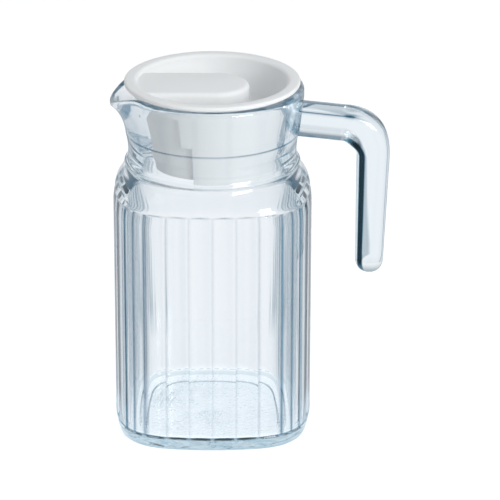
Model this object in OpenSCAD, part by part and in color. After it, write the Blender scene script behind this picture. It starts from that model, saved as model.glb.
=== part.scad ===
// Glass pitcher of the half-litre class with a loose plastic lid.
// The fluted body is a bowed, rounded square, and its shoulder turns it into
// a round neck. A glass handle with a free lower end is fused to the neck.
// Millimetres. Origin: middle of the base, on the axis of the jug. +Z is up,
// the handle points to +X and the pouring spout to -X.

/* [Body] */
// Width across the middle of two opposite sides, at the flutes' top line
body_w = 84.8; // [78:0.2:96]
// How far each side draws in from there down to the table
side_draft = 0.55; // [0.1:0.05:1]
// Radius of the outward bow of each side
side_bow_r = 110; // [90:1:200]
// Radius of the rounded corners of the body
corner_r = 23.3; // [16:0.1:28]
// Height of the level line at which the flutes stop
body_h = 106.5; // [90:0.5:140]
// Thickness of the body's wall
body_wall = 4.5; // [3:0.1:6]
// Thickness of the base in its middle
base_t = 5; // [4:0.1:8]
// Rounding between the inner floor and the inner wall
floor_fillet = 8; // [5:0.5:12]

/* [Flutes and foot] */
// Depth of a wide flute in its middle
flute_depth = 0.55; // [0.3:0.05:0.9]
// Height over which a flute runs out on to the foot's ledge
run_out_h = 0.3; // [0.2:0.05:0.6]
// Height of the plain, rounded foot below the flutes
foot_h = 5.8; // [3:0.1:8]
// How far the foot draws in where the jug stands
foot_inset = 2.6; // [1.5:0.1:4]

/* [Shoulder] */
// Height over which the sides ease in below the flutes' top line
ease_h = 7; // [4:0.5:12]
// How far the sides have eased in at the flutes' top line
ease_inset = 0.7; // [0.3:0.1:1.2]
// How far the shoulder's lower edge stands proud of the ridges
shoulder_lip = 0.15; // [0.1:0.05:0.3]
// Height of the shoulder, from the flutes' top line to the bead
shoulder_h = 11.4; // [8:0.1:14]
// Height over which the inside draws in to the neck's bore
inner_shoulder_h = 15; // [12:0.5:20]

/* [Neck] */
// Radius of the bead at the foot of the neck, to its outside
bead_out_r = 37.5; // [36.8:0.1:38.2]
// Radius of the bead's own round section
bead_r = 0.75; // [0.5:0.05:1]
// Height of the waist, from the bead to the crisp line above it
waist_h = 13.8; // [9:0.1:16]
// How far the waist's curve is pulled in towards the axis
waist_pull = 2.2; // [1:0.1:3.5]
// Radius of the crisp line above the waist
line_r = 37.1; // [36.4:0.1:37.6]
// Height from the crisp line to the widest place of the rim
flare_h = 15.4; // [13:0.1:20]
// Radius of the rim to its outside
rim_r = 39.1; // [38:0.1:40]
// Upright height of the rim below its rounding
rim_upright = 2.3; // [1:0.1:4]
// Thickness of the rim
rim_t = 4.6; // [4:0.1:5.4]
// Radius of the bore in the waist
bore_r = 30.6; // [29:0.1:31.4]
// Height of the straight bore above the bead
bore_h = 5; // [3:0.1:8]

/* [Spout] */
// Distance from the axis to the tip of the spout
spout_reach = 43.6; // [42:0.1:45]
// How far the tip's widest place lies below that of the rim
spout_drop = 3.6; // [2:0.1:5]
// Upright height of the lip at the tip
lip_upright = 1; // [0.6:0.1:2]
// Thickness of the lip at the tip
lip_t = 3.2; // [2.6:0.1:4]
// Angle over which the rim runs out into the spout, to one side
spout_angle = 40; // [32:1:50]

/* [Handle] */
// Width of the handle, front to back
handle_w = 16; // [12:0.5:19]
// Thickness of the bar where it leaves the neck
bar_t = 14; // [10:0.1:15]
// Thickness of the grip below the bend
grip_t = 14.3; // [12:0.1:16]
// Thickness of the grip just above its free end
tip_t = 12.2; // [10:0.1:14]
// Distance from the axis to the middle of the grip
grip_x = 68.4; // [64:0.2:74]
// Radius of the bend's middle line
bend_r = 13.5; // [11:0.5:18]
// How far the bar falls before the bend
bar_fall = 2; // [0:0.1:4]
// How far the grip leans back to the body at its free end
grip_lean = 1.5; // [0:0.1:3]
// Height of the grip's free end above the table
grip_end_z = 67.6; // [50:0.2:90]
// Depth of the bar's middle line below the rim's widest place
bar_below_rim = 10.6; // [9:0.1:12]

/* [Lid] */
// Gap between the lid's flange and the glass rim
seat_gap = 0.3; // [0.2:0.05:0.5]
// Radius of the lid's flange
flange_r = 37.4; // [36.2:0.1:38.4]
// Thickness of the flange
flange_t = 2; // [1.4:0.1:2.6]
// Radius of the finger recess at its edge
recess_r = 31.8; // [30.6:0.1:32]
// Depth of the finger recess below the flange's top
recess_depth = 19; // [15:0.5:24]
// Thickness of the lid's walls
lid_wall = 1.8; // [1.4:0.1:2.2]
// Radius of the plug where it leaves the flange
plug_top_r = 33.5; // [33.3:0.1:33.6]
// Radius of the plug at its lower edge
plug_low_r = 27; // [26:0.1:28]
// Length of the plug below the flange
plug_h = 37; // [30:0.5:42]
// Gap between the plug's sealing bead and the mouth
seal_gap = 0.3; // [0.25:0.05:0.5]
// Half of the angle of the stepped-in part that faces the spout
pour_half_angle = 59; // [45:1:70]
// How far that part steps in
pour_step = 2.2; // [1.6:0.1:2.8]
// How much shorter the plug is on that part
pour_short = 2; // [1:0.1:4]
// Width of the grip bar across the recess
grip_bar_w = 28.4; // [24:0.2:32]
// Depth of the bar's top below the flange's top
bar_top_drop = 1.7; // [1:0.1:3]
// Rounding of the bar's upper edge
bar_round = 1.6; // [1:0.1:2.2]

/* [Hidden] */

// Overrun of cuts past the faces that they open
overrun = 1;
// Overlap of pieces that are one body of glass
bury = 0.5;
half_w = body_w / 2;

// Places of a flute's ridges from the middle of a side (0) to a corner (1)
ridge_shares = [0, 0.3, 0.578, 0.848];
// Flats that make one flute, on the outside of the body
flute_steps = 4;
foot_steps = 6;
ease_steps = 2;
fillet_steps = 5;
shoulder_steps = 7;
inner_sides = 72;

// The side's bow is struck from a point beyond the axis, and the corner's
// circle touches it from inside
bow_back = side_bow_r - half_w;
bow_less = side_bow_r - corner_r;
corner_mid = (sqrt(2 * bow_less * bow_less - bow_back * bow_back) - bow_back) / 2;
corner_reach = corner_mid * sqrt(2);
touch_turn = atan2(corner_mid, corner_mid + bow_back);
touch_angle = atan2(side_bow_r * sin(touch_turn), side_bow_r * cos(touch_turn) - bow_back);

// Angle from the middle of the nearest side, 0 to 45
function side_angle(a) = let (b = ((a % 90) + 90) % 90) b > 45 ? 90 - b : b;

// Distance from the axis to the plain outline, at angle a
function plain_r(a) = let (b = side_angle(a))
    b < touch_angle
        ? sqrt(pow(side_bow_r, 2) - pow(bow_back * sin(b), 2)) - bow_back * cos(b)
        : corner_reach * cos(45 - b) + sqrt(pow(corner_r, 2) - pow(corner_reach * sin(45 - b), 2));

// The ridges' angles all round, and the angle after the last
ridge_angles = concat([for (q = [0:3]) each concat(
    [for (s = ridge_shares) 90 * q + 45 * s],
    [for (i = [0:len(ridge_shares) - 1])
        90 * q + 90 - 45 * (i == 0 ? 1 : ridge_shares[len(ridge_shares) - i])])], [360]);

// A flute of width w is a shallow hollow: its depth goes with its width squared
widest_flute = ridge_angles[1] - ridge_angles[0];
function flute_in(k, t) = flute_depth * 4 * t * (1 - t)
    * pow((ridge_angles[k + 1] - ridge_angles[k]) / widest_flute, 2);

// The sides' draft, as an inset at height z
function draft_in(z) = side_draft * (1 - z / body_h);

function ring_point(a, r) = [r * cos(a), r * sin(a)];

// One outline with a point for each flat of the flutes, drawn in by inset.
// A flute share of 1 cuts the flutes to their depth, and 0 leaves them out
function fluted_ring(inset, flute_share) = [
    for (k = [0:len(ridge_angles) - 2])
        for (j = [0:flute_steps - 1])
            let (t = j / flute_steps)
            let (a = ridge_angles[k] + t * (ridge_angles[k + 1] - ridge_angles[k]))
            ring_point(a, plain_r(a) - inset - flute_share * flute_in(k, t))];

// A smooth outline between the plain one and a circle: share 0 to 1
function plain_ring(inset, round_r, share, sides) = [
    for (i = [0:sides - 1])
        let (a = 360 * i / sides)
        ring_point(a, (plain_r(a) - inset) * (1 - share) + round_r * share)];

// A solid through rings of equally many points, one height for each
module loft(rings, heights) {
    n = len(rings[0]);
    last = (len(rings) - 1) * n;
    points = [for (k = [0:len(rings) - 1]) for (p = rings[k]) [p.x, p.y, heights[k]]];
    sides = [for (k = [0:len(rings) - 2]) for (i = [0:n - 1])
        let (a = k * n + i)
        let (b = k * n + (i + 1) % n)
        each [[a, a + n, b + n], [a, b + n, b]]];
    floor_face = [for (i = [0:n - 1]) i];
    roof_face = [for (i = [n - 1:-1:0]) last + i];
    polyhedron(concat(points), concat([floor_face], sides, [roof_face]));
}

function s_curve(t) = (1 - cos(180 * t)) / 2;

// Wall from the plain foot, on whose ledge the flutes stand, to their top line
module fluted_wall() {
    foot_angles = [for (i = [0:foot_steps]) 90 - 90 * i / foot_steps];
    foot_heights = [for (a = foot_angles) foot_h * (1 - sin(a))];
    ease_heights = [for (i = [0:ease_steps]) body_h - ease_h * (1 - i / ease_steps)];
    rings = concat(
        [for (i = [0:foot_steps])
            fluted_ring(draft_in(foot_heights[i]) + foot_inset * (1 - cos(foot_angles[i])), 0)],
        [fluted_ring(draft_in(foot_h + run_out_h), 1)],
        [for (i = [0:ease_steps])
            fluted_ring(draft_in(ease_heights[i]) + ease_inset * pow(i / ease_steps, 2), 1)],
        [fluted_ring(ease_inset, 1)]);
    heights = concat(foot_heights, [foot_h + run_out_h], ease_heights, [body_h + bury]);
    loft(rings, heights);
}

shoulder_sides = 96;
shoulder_top_r = bead_out_r - bead_r / 2;

// Shoulder that turns the rounded square into the round neck
module shoulder() {
    steps = [for (i = [0:shoulder_steps]) i / shoulder_steps];
    loft([for (t = steps)
            plain_ring(ease_inset - shoulder_lip, shoulder_top_r, s_curve(t), shoulder_sides)],
        [for (t = steps) body_h + shoulder_h * t]);
}

neck_z = body_h + shoulder_h;
inner_neck_z = neck_z + bead_r + bury;

// Room inside the body, up into the foot of the neck
module body_room() {
    fillet = [for (i = [0:fillet_steps]) 90 - 90 * i / fillet_steps];
    steps = [for (i = [1:shoulder_steps]) i / shoulder_steps];
    low_z = inner_neck_z - inner_shoulder_h;
    top_r = bore_r - bead_r / 2;
    fillet_heights = [for (a = fillet) base_t + floor_fillet * (1 - sin(a))];
    rings = concat(
        [for (i = [0:fillet_steps])
            let (inset = draft_in(fillet_heights[i]) + floor_fillet * (1 - cos(fillet[i])))
            plain_ring(body_wall + inset, 0, 0, inner_sides)],
        [plain_ring(body_wall + draft_in(low_z), 0, 0, inner_sides)],
        [for (t = steps)
            plain_ring(body_wall + draft_in(low_z) * (1 - t), top_r, s_curve(t), inner_sides)]);
    heights = concat(
        fillet_heights,
        [low_z],
        [for (t = steps) low_z + inner_shoulder_h * t]);
    loft(rings, heights);
}

// Point at share t of a curve from a to b that is pulled towards c
function pulled(a, c, b, t) = a * pow(1 - t, 2) + c * 2 * t * (1 - t) + b * pow(t, 2);

waist_steps = 6;
flare_steps = 6;
rim_steps = 8;
throat_steps = 7;
bead_steps = 4;

bead_mid_r = bead_out_r - bead_r;
line_z = neck_z + waist_h;
rim_z = line_z + flare_h;
bore_top_z = neck_z + bore_h;
// Widening of the bore where it opens into the body
bore_bell = 1.2;

// Closed section of the neck's wall in [radius, height], ending in a rounded
// rim or lip: its outside, the height of its widest place, its upright height
// and thickness, and how hollow the flare and the throat are. All of it can
// be drawn in by skin, from both faces of the wall
function neck_section(out_r, out_z, upright, thick, flare_pull, throat_pull, skin) = concat(
    [[bore_r + bore_bell + skin, neck_z - bead_r - bury + skin],
        [bead_mid_r - bead_r - skin, neck_z - bead_r - bury + skin]],
    [for (i = [0:bead_steps])
        let (a = -75 + 150 * i / bead_steps)
        [bead_mid_r + (bead_r - skin) * cos(a), neck_z + (bead_r - skin) * sin(a)]],
    [for (i = [1:waist_steps])
        pulled([bead_mid_r - skin, neck_z + bead_r],
            [line_r - waist_pull - skin, neck_z + waist_h / 3], [line_r - skin, line_z],
            i / waist_steps)],
    [for (i = [1:flare_steps])
        pulled([line_r - skin, line_z],
            [(line_r + out_r) / 2 - flare_pull - skin, (line_z + out_z) / 2 + flare_pull],
            [out_r - skin, out_z], i / flare_steps)],
    [for (i = [0:rim_steps])
        let (a = 180 * i / rim_steps)
        let (r = thick / 2 - skin)
        [out_r - thick / 2 + r * cos(a), out_z + upright + r * sin(a)]],
    [for (i = [1:throat_steps])
        pulled([out_r - thick + skin, out_z + upright],
            [(out_r - thick + bore_r) / 2 + throat_pull + skin,
                (out_z + upright + bore_top_z) / 2 + throat_pull],
            [bore_r + skin, bore_top_z], i / throat_steps)],
    [[bore_r + skin, neck_z + bead_r]]);

throat_bulge = 0.6;
spout_hollow = 2.2;
lip_hollow = 1.4;
// The spout's faces lie this much inside those of the neck, so that it runs
// into the neck's wall and joins it there
spout_skin = 0.12;
spout_steps = 20;
// Angle by which the spout's plain ends pass the neck's end on either side
spout_lap_angle = 1.5;

// Part of the neck's wall that runs out into the spout: the section passes
// from the rim's to the tip's and back
module spout() {
    rim_section = neck_section(rim_r, rim_z, rim_upright, rim_t, 0, throat_bulge, spout_skin);
    tip_section = neck_section(spout_reach, rim_z - spout_drop, lip_upright, lip_t,
        spout_hollow, -lip_hollow, spout_skin);
    n = len(rim_section);
    run_angle = spout_angle - spout_lap_angle;
    end_angle = spout_angle + spout_lap_angle;
    turns = concat([-end_angle],
        [for (i = [0:spout_steps]) run_angle * (2 * i / spout_steps - 1)],
        [end_angle]);
    last = len(turns) - 1;
    sections = [for (a = turns)
        let (share = abs(a) < run_angle ? pow(cos(90 * a / run_angle), 2) : 0)
        [for (k = [0:n - 1]) rim_section[k] * (1 - share) + tip_section[k] * share]];
    points = [for (i = [0:last]) for (p = sections[i])
        [-p.x * cos(turns[i]), -p.x * sin(turns[i]), p.y]];
    sides = [for (i = [0:last - 1]) for (k = [0:n - 1])
        let (a = i * n + k)
        let (b = i * n + (k + 1) % n)
        each [[a, b, b + n], [a, b + n, a + n]]];
    first_face = [for (k = [n - 1:-1:0]) k];
    last_face = [for (k = [0:n - 1]) last * n + k];
    polyhedron(points, concat([first_face], sides, [last_face]));
}

// Round part of the neck's wall
module neck() {
    rotate([0, 0, 180 + spout_angle])
        rotate_extrude(angle = 360 - 2 * spout_angle, $fn = 144)
            polygon(neck_section(rim_r, rim_z, rim_upright, rim_t, 0, throat_bulge, 0));
}

module jug() {
    color([0.86, 0.92, 0.95, 0.45]) {
        difference() {
            union() {
                fluted_wall();
                shoulder();
            }
            body_room();
        }
        neck();
        spout();
    }
}

handle_sides = 20;
bend_steps = 10;
tip_steps = 6;
bar_z = rim_z - bar_below_rim;
bar_start_x = bore_r + rim_t / 2;
// The bar falls evenly from the neck to the bend
bar_end_x = grip_x - bend_r;
bar_slope = atan2(bar_fall, bar_end_x - line_r);
grip_slope = atan2(grip_lean, bar_z - grip_end_z);
bend_mid_z = bar_z - bar_fall - bend_r;
tip_z = grip_end_z + tip_t / 2;
// How square the handle's section is: 1 is an ellipse, 0 a rectangle
square_share = 0.6;

// Stations along the handle: x, z, direction of the outside, thickness, width
function station(x, z, a, t, w) = [x, z, a, t, w];
bar_stations = [for (s = [0, 0.5, 1])
    station(bar_start_x + (bar_end_x - bar_start_x) * s, bar_z - bar_fall * s, 90 - bar_slope,
        bar_t, handle_w)];
bend_stations = [for (i = [1:bend_steps])
    let (s = i / bend_steps)
    let (a = 90 * (1 - s))
    station(bar_end_x + bend_r * cos(a), bend_mid_z + bend_r * sin(a),
        a - bar_slope * (1 - s) - grip_slope * s, bar_t + (grip_t - bar_t) * s_curve(s), handle_w)];
grip_stations = [for (s = [0.5, 1])
    station(grip_x - grip_lean * s, bend_mid_z + (tip_z - bend_mid_z) * s, -grip_slope,
        grip_t + (tip_t - grip_t) * s, handle_w)];
// The rounding of the free end stops at this angle, on a small flat
tip_end_angle = 84;
tip_stations = [for (i = [1:tip_steps])
    let (a = tip_end_angle * i / tip_steps)
    station(grip_x - grip_lean, tip_z - tip_t / 2 * sin(a), -grip_slope,
        tip_t * cos(a), handle_w - tip_t * (1 - cos(a)))];
handle_stations = concat(bar_stations, bend_stations, grip_stations, tip_stations);

function signed_power(v, p) = sign(v) * pow(abs(v), p);

// Section of the handle at one station, as points in space
function handle_ring(s) = [
    for (i = [0:handle_sides - 1])
        let (a = 360 * i / handle_sides)
        let (out = s[3] / 2 * signed_power(cos(a), square_share))
        [s[0] + out * cos(s[2]), s[4] / 2 * signed_power(sin(a), square_share),
            s[1] + out * sin(s[2])]];

// Bar, bend and grip in one sweep, its root cut to the neck's outside
module handle() {
    n = handle_sides;
    last = (len(handle_stations) - 1) * n;
    points = [for (s = handle_stations) each handle_ring(s)];
    sides = [for (k = [0:len(handle_stations) - 2]) for (i = [0:n - 1])
        let (a = k * n + i)
        let (b = k * n + (i + 1) % n)
        each [[a, a + n, b + n], [a, b + n, b]]];
    first_face = [for (i = [0:n - 1]) i];
    last_face = [for (i = [n - 1:-1:0]) last + i];
    color([0.86, 0.92, 0.95, 0.45])
        difference() {
            polyhedron(points, concat([first_face], sides, [last_face]));
            neck_core();
        }
}

// The neck without its bore, between the crisp line and the rim
module neck_core() {
    rotate_extrude($fn = 144)
        polygon([[0, line_z - waist_h / 2], [line_r, line_z - waist_h / 2], [line_r, line_z],
            [rim_r, rim_z], [rim_r, rim_z + rim_upright], [0, rim_z + rim_upright]]);
}

rim_top_z = rim_z + rim_upright + rim_t / 2;
flange_z = rim_top_z + seat_gap;
lid_top_z = flange_z + flange_t;
plug_low_z = flange_z - plug_h;
recess_floor_z = lid_top_z - recess_depth;
recess_fillet = 4;
edge_round = 0.8;
plug_steps = 10;
// The plug widens upwards, slowly at first
flare_power = 1.5;
// The step towards the spout starts below the flange by this much
pour_top_drop = 6;
pour_top_z = flange_z - pour_top_drop;
seal_bead_r = 0.7;
seal_z = rim_z + rim_upright - bury;

function plug_r(z) = plug_low_r
    + (plug_top_r - plug_low_r) * pow((max(z, plug_low_z) - plug_low_z) / (flange_z - plug_low_z), flare_power);

// Solid inside the plug's outside, drawn in by inset, between two heights
module plug_form(inset, low_z, high_z, fillet = 0) {
    rotate_extrude($fn = 144)
        polygon(concat([[0, low_z]],
            [for (a = fillet > 0 ? [-90:15:0] : [0])
                let (z = low_z + fillet)
                [plug_r(z) - inset - fillet * (1 - cos(a)), z + fillet * sin(a)]],
            [for (i = [1:plug_steps])
                let (z = low_z + fillet + (high_z - low_z - fillet) * i / plug_steps)
                [plug_r(min(z, flange_z)) - inset, z]],
            [[0, high_z]]));
}

// Wedge towards the spout, for the part of the plug that is stepped in
module pour_wedge(half_angle, high_z) {
    reach = 2 * flange_r;
    translate([0, 0, plug_low_z - overrun])
        linear_extrude(height = high_z - plug_low_z + overrun)
            polygon([[0, 0], [-reach, reach * tan(half_angle)], [-reach, -reach * tan(half_angle)]]);
}

// The plug's form with its stepped-in part towards the spout
module stepped_form(inset, low_z, high_z, fillet = 0) {
    web_angle = inset / plug_low_r * 180 / PI;
    plug_form(inset + pour_step, low_z, high_z, fillet);
    difference() {
        plug_form(inset, low_z, high_z, fillet);
        pour_wedge(pour_half_angle + web_angle, pour_top_z + inset);
    }
}

// Grip bar across the recess: a half round end and straight sides to the wall
function bar_half(inset) = let (half = grip_bar_w / 2 - inset)
    let (top = lid_top_z - bar_top_drop - inset)
    let (low = recess_floor_z - lid_wall - overrun)
    concat([[0, low], [half, low]],
        [for (a = [0:15:90])
            [half - bar_round + bar_round * cos(a), top - bar_round + bar_round * sin(a)]],
        [[0, top]]);

module bar_form(inset) {
    half = bar_half(inset);
    whole = concat(half, [for (i = [len(half) - 1:-1:0]) [-half[i].x, half[i].y]]);
    rotate_extrude($fn = 96)
        polygon(half);
    rotate([90, 0, -90])
        linear_extrude(height = flange_r)
            polygon(whole);
}

module flange() {
    rotate_extrude($fn = 144)
        polygon(concat(
            [[plug_r(flange_z) - lid_wall, flange_z - bury], [plug_r(flange_z), flange_z - bury],
                [plug_r(flange_z), flange_z]],
            [for (a = [-90:30:0])
                [flange_r - edge_round + edge_round * cos(a), flange_z + edge_round * (1 + sin(a))]],
            [for (a = [0:30:90])
                [flange_r - edge_round + edge_round * cos(a),
                    lid_top_z - edge_round * (1 - sin(a))]],
            [for (a = [90:30:180])
                [recess_r + edge_round + edge_round * cos(a),
                    lid_top_z - edge_round * (1 - sin(a))]]));
}

// Sealing bead round the plug, in the mouth of the jug, on a web from the plug
module seal_bead() {
    mouth_r = rim_r - rim_t;
    bead_mid = mouth_r - seal_gap - seal_bead_r;
    web_start = plug_r(seal_z) - lid_wall / 2;
    rotate_extrude($fn = 144)
        translate([0, seal_z]) {
            translate([bead_mid, 0])
                circle(r = seal_bead_r, $fn = 24);
            translate([web_start, -seal_bead_r / 2])
                square([bead_mid - web_start, seal_bead_r]);
        }
}

module lid() {
    under_z = recess_floor_z - lid_wall;
    color([0.93, 0.93, 0.91]) {
        difference() {
            union() {
                stepped_form(0, plug_low_z, flange_z);
                flange();
                seal_bead();
            }
            difference() {
                stepped_form(lid_wall, recess_floor_z, lid_top_z + overrun, recess_fillet);
                bar_form(0);
            }
            stepped_form(lid_wall, plug_low_z - overrun, under_z);
            intersection() {
                bar_form(lid_wall);
                stepped_form(lid_wall, under_z - overrun, flange_z);
            }
            pour_shortening();
        }
    }
}

// Takes the lower edge of the stepped-in part up
module pour_shortening() {
    pour_wedge(pour_half_angle, plug_low_z + pour_short);
}

jug();
handle();
lid();
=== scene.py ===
import math

import bpy
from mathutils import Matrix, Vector


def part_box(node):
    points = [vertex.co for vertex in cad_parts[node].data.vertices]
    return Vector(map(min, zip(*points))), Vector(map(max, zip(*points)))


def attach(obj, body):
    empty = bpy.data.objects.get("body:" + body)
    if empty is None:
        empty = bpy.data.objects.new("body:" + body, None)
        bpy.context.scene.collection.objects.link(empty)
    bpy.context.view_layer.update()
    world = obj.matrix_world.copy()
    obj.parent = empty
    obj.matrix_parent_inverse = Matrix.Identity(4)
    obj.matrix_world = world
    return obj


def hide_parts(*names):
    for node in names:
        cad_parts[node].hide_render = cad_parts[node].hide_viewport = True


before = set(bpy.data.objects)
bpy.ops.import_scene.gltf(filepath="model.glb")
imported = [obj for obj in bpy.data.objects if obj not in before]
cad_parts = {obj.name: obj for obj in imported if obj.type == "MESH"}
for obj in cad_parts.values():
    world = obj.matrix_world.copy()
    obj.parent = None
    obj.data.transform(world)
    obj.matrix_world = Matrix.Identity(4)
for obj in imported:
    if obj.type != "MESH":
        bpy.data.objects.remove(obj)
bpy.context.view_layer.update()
MM = 0.001

# The photograph's camera: 500 x 500 pixels, 20.7 degrees above the horizon, without roll
CAMERA_PLACE = (0.0160, -2.3242, 0.9561)
CAMERA_PITCH = math.radians(20.73)
CAMERA_LENS = 417.6
CAMERA_SENSOR = 36
CLIP_NEAR = 0.05
CLIP_FAR = 20


def make_camera():
    bpy.ops.object.camera_add(location=CAMERA_PLACE, rotation=(math.pi / 2 - CAMERA_PITCH, 0, 0))
    camera = bpy.context.object
    camera.name = "photo_camera"
    camera.data.lens = CAMERA_LENS
    camera.data.sensor_width = CAMERA_SENSOR
    camera.data.clip_start = CLIP_NEAR
    camera.data.clip_end = CLIP_FAR
    bpy.context.scene.camera = camera


make_camera()


# Sizes that the frame gives

jug_low, jug_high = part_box("jug")
lid_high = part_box("lid")[1]
RIM_TOP_Z = jug_high.z
LID_TOP_Z = lid_high.z
FLANGE_R = lid_high.x

# Sizes of the body, as the glassmaker would give them
HALF_W = 42.4 * MM
SIDE_BOW_R = 110 * MM
CORNER_R = 23.3 * MM
SIDE_DRAFT = 0.55 * MM
BODY_H = 106.5 * MM
BODY_WALL = 4.5 * MM
BASE_T = 5 * MM
FLOOR_FILLET = 1.5 * MM
FLUTE_DEPTH = 0.55 * MM
RUN_OUT_H = 0.3 * MM
LEDGE_H = 0.3 * MM
FLUTE_STOP_H = 0.25 * MM
FOOT_H = 5.8 * MM
FOOT_INSET = 2.6 * MM
EASE_H = 7 * MM
EASE_INSET = 0.7 * MM
INNER_SHOULDER_H = 15 * MM
INNER_SHOULDER_LIFT = 0.5 * MM
PUNT_H = 0.7 * MM

# Places on the underside and on the floor, as shares of the way out from the axis
PUNT_SHARES = (0, 0.25, 0.5, 0.7, 0.78)
RING_SHARES = (0.8, 0.84)
STAND_SHARES = (0.9, 0.97)
FLOOR_SHARES = (0.8, 0.6, 0.4, 0.2, 0)

# Sizes of the neck
NECK_Z = 117.9 * MM
BEAD_R = 0.75 * MM
BEAD_MID_R = 36.75 * MM
WAIST_R = 34.9 * MM
LINE_R = 37.1 * MM
LINE_Z = NECK_Z + 13.8 * MM
RIM_R = 39.1 * MM
RIM_Z = LINE_Z + 15.4 * MM
RIM_T = 4.6 * MM
RIM_UPRIGHT = RIM_TOP_Z - RIM_Z - RIM_T / 2
BORE_R = 30.6 * MM
BORE_TOP_Z = NECK_Z + 5 * MM
THROAT_BULGE = 0.6 * MM

# How near the neck's pressed line the section has its next points, as shares of the curves on both sides
BELOW_LINE_SHARE = 0.95
ABOVE_LINE_SHARE = 0.03

# Sizes of the spout at its tip
TIP_R = -jug_low.x
TIP_Z = RIM_Z - 3.6 * MM
TIP_UPRIGHT = 1 * MM
TIP_T = 3.2 * MM
TIP_HOLLOW = 2.2 * MM
LIP_HOLLOW = 1.4 * MM
SPOUT_ANGLE = 38.5

# How dark the painted shade lines at the pressed edges show, and the share of it that is left where a flute
# meets a ridge. What is past 1 is painted near black
FLUTE_FOOT_EDGE = 1.6
FLUTE_TOP_EDGE = 0.7
NECK_LINE_EDGE = 1
AT_RIDGE_SHARE = 0.3

# How much painted light, a pale glowing sheen as if caught from all round, the foot and the rim get, and the
# heights over which the foot's fades out
FOOT_SHEEN = 0.8
FOOT_FADE_LOW = 1.5 * MM
FOOT_FADE_HIGH = 1 * MM
RIM_SHEEN = 0.35

# Ridges between the flutes, as shares of the way from a side's middle to a corner, with the darkness and the
# spread of their painted shade lines, which lie just past them. A flute gets painted shade that grows across
# it, up to a painted glint at the next ridge
RIDGE_SHARES = (0, 0.3, 0.578, 0.848, 1)
RIDGE_DARKS = (0.4, 0.4, 0.6, 1, 0.9)
RIDGE_SPREADS = (0.5 * MM, 0.5 * MM, 0.5 * MM, 1.1 * MM, 0.8 * MM)
LINE_SHIFT = 0.4
GLINT_W = 0.9 * MM
PANEL_SHADE = 0.2
FLUTE_W = 9.9 * MM
FLUTE_STEPS = 12
EIGHTH = 2 * math.pi / 8
EIGHTH_STEPS = (len(RIDGE_SHARES) - 1) * FLUTE_STEPS
STEPS_ROUND = 8 * EIGHTH_STEPS

# Points nearer to each other than this are one point
MERGE_GAP = 0.002 * MM


# Modelling helpers

def choose(piece):
    """Makes one object the only selected one."""
    bpy.ops.object.select_all(action="DESELECT")
    bpy.context.view_layer.objects.active = piece
    piece.select_set(True)


def edit(piece):
    """Opens one object for editing, with nothing selected in it."""
    choose(piece)
    bpy.ops.object.mode_set(mode="EDIT")
    bpy.ops.mesh.select_all(action="DESELECT")


def leave():
    bpy.ops.object.mode_set(mode="OBJECT")


def drawn_line(name, points):
    """A line in the XZ plane, drawn point by point from one vertex."""
    bpy.ops.object.select_all(action="DESELECT")
    bpy.ops.mesh.primitive_plane_add(size=MM, location=(0, 0, 0))
    line = bpy.context.object
    line.name = name
    bpy.ops.object.mode_set(mode="EDIT")
    bpy.ops.mesh.select_all(action="SELECT")
    bpy.ops.mesh.merge(type="CENTER")
    x, z = points[0]
    bpy.ops.transform.translate(value=(x, 0, z))
    for (x0, z0), (x1, z1) in zip(points, points[1:]):
        bpy.ops.mesh.extrude_vertices_move(TRANSFORM_OT_translate={"value": (x1 - x0, 0, z1 - z0)})
    leave()
    return line


def give_values(piece, name, values, kind="FLOAT"):
    """Keeps one number for each vertex, for its copies in a spin or an extrusion, or for the material."""
    piece.data.attributes.new(name, kind, "POINT")
    piece.data.attributes[name].data.foreach_set("value", values)


def take_values(piece, name):
    """Gives back the numbers of all vertices, and clears them from the piece."""
    values = [item.value for item in piece.data.attributes[name].data]
    piece.data.attributes.remove(piece.data.attributes[name])
    return values


def turned_form(name, points, steps):
    """Draws a section and turns it once round the Z axis.

    Also gives, for each vertex, its place on the section and its step round the axis."""
    form = drawn_line(name, points)
    nearest = [min(range(len(points)), key=lambda i: math.dist((v.co.x, v.co.z), points[i]))
               for v in form.data.vertices]
    give_values(form, "station", nearest, "INT")
    edit(form)
    bpy.ops.mesh.select_all(action="SELECT")
    bpy.ops.mesh.spin(steps=steps, angle=2 * math.pi, center=(0, 0, 0), axis=(0, 0, 1))
    bpy.ops.mesh.select_all(action="SELECT")
    bpy.ops.mesh.remove_doubles(threshold=MERGE_GAP)
    leave()
    step_angle = 2 * math.pi / steps
    steps_round = [round(math.atan2(v.co.y, v.co.x) / step_angle) % steps for v in form.data.vertices]
    return form, list(zip(take_values(form, "station"), steps_round))


def stacked_form(name, sides, radius, levels):
    """A closed stack of rings, a millimetre apart, whose vertices are then moved to their real places.

    Also gives, for each vertex, its level and its side."""
    bpy.ops.object.select_all(action="DESELECT")
    bpy.ops.mesh.primitive_circle_add(vertices=sides, radius=radius, fill_type="NGON")
    form = bpy.context.object
    form.name = name
    give_values(form, "side", range(sides), "INT")
    edit(form)
    bpy.ops.mesh.select_all(action="SELECT")
    for _ in range(levels - 1):
        bpy.ops.mesh.extrude_region_move(TRANSFORM_OT_translate={"value": (0, 0, MM)})
    leave()
    levels_up = [round(v.co.z / MM) for v in form.data.vertices]
    return form, list(zip(levels_up, take_values(form, "side")))


def outward(piece):
    """Merges doubles and turns every face outwards."""
    edit(piece)
    bpy.ops.mesh.select_all(action="SELECT")
    bpy.ops.mesh.remove_doubles(threshold=MERGE_GAP)
    bpy.ops.mesh.normals_make_consistent(inside=False)
    leave()


def smooth(piece, angle=None):
    """Shades a piece smooth all over, or only where faces meet at less than an angle in degrees."""
    choose(piece)
    if angle is None:
        bpy.ops.object.shade_smooth()
    else:
        bpy.ops.object.shade_smooth_by_angle(angle=math.radians(angle))


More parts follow.
